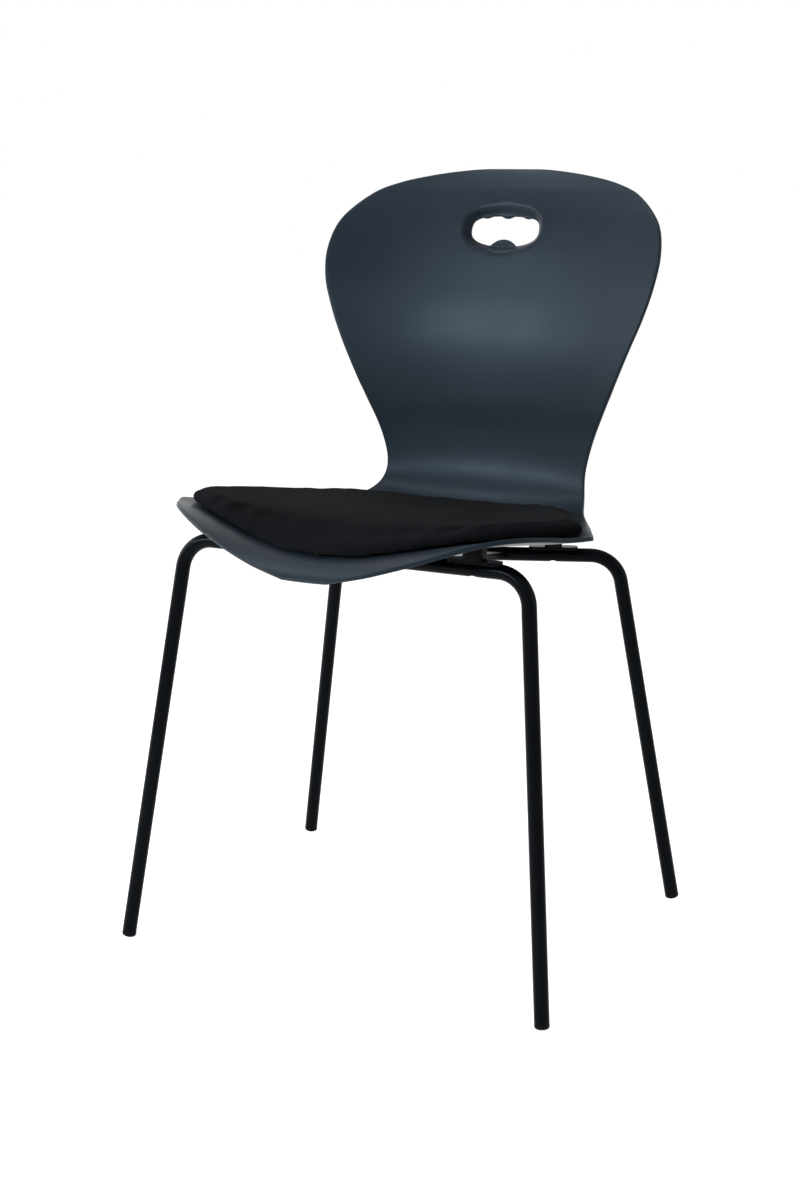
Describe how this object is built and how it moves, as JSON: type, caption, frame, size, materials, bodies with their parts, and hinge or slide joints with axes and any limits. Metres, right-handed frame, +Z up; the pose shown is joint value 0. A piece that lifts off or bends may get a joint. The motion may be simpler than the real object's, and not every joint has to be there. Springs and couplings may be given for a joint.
{
  "type": "choir chair",
  "caption": "Choir chair: waisted moulded seat and back shell with a finger hole and upholstered seat pad, on bent steel tube legs.",
  "frame": {"origin": "floor level, at the middle of the chair's width and depth", "axes": "+X across the chair, -Y out of its front, +Z up"},
  "size_m": [0.5262, 0.506, 0.847],
  "materials": {
    "shell_plastic": "fine moulded grain with a soft sheen",
    "pad_fabric": "fine plain weave",
    "foam": "open cell",
    "board": "moulded plywood",
    "frame_paint": "satin powder coat",
    "zinc": "zinc plated",
    "brass": "turned",
    "foot_plastic": "moulded"
  },
  "bodies": {
    "root": {"shell": "shell_plastic", "shell_inserts": "brass", "pad_board": "board", "pad_foam": "foam", "pad_cover": "pad_fabric", "pad_tee_nuts": "zinc", "pad_screws": "zinc", "front_leg_bow": "frame_paint", "rear_leg_bow": "frame_paint", "left_stringer": "frame_paint", "right_stringer": "frame_paint", "front_left_saddle": "frame_paint", "front_right_saddle": "frame_paint", "rear_left_saddle": "frame_paint", "rear_right_saddle": "frame_paint", "frame_bolts": "zinc", "front_left_foot": "foot_plastic", "front_right_foot": "foot_plastic", "rear_left_foot": "foot_plastic", "rear_right_foot": "foot_plastic"}
  },
  "joints": []
}
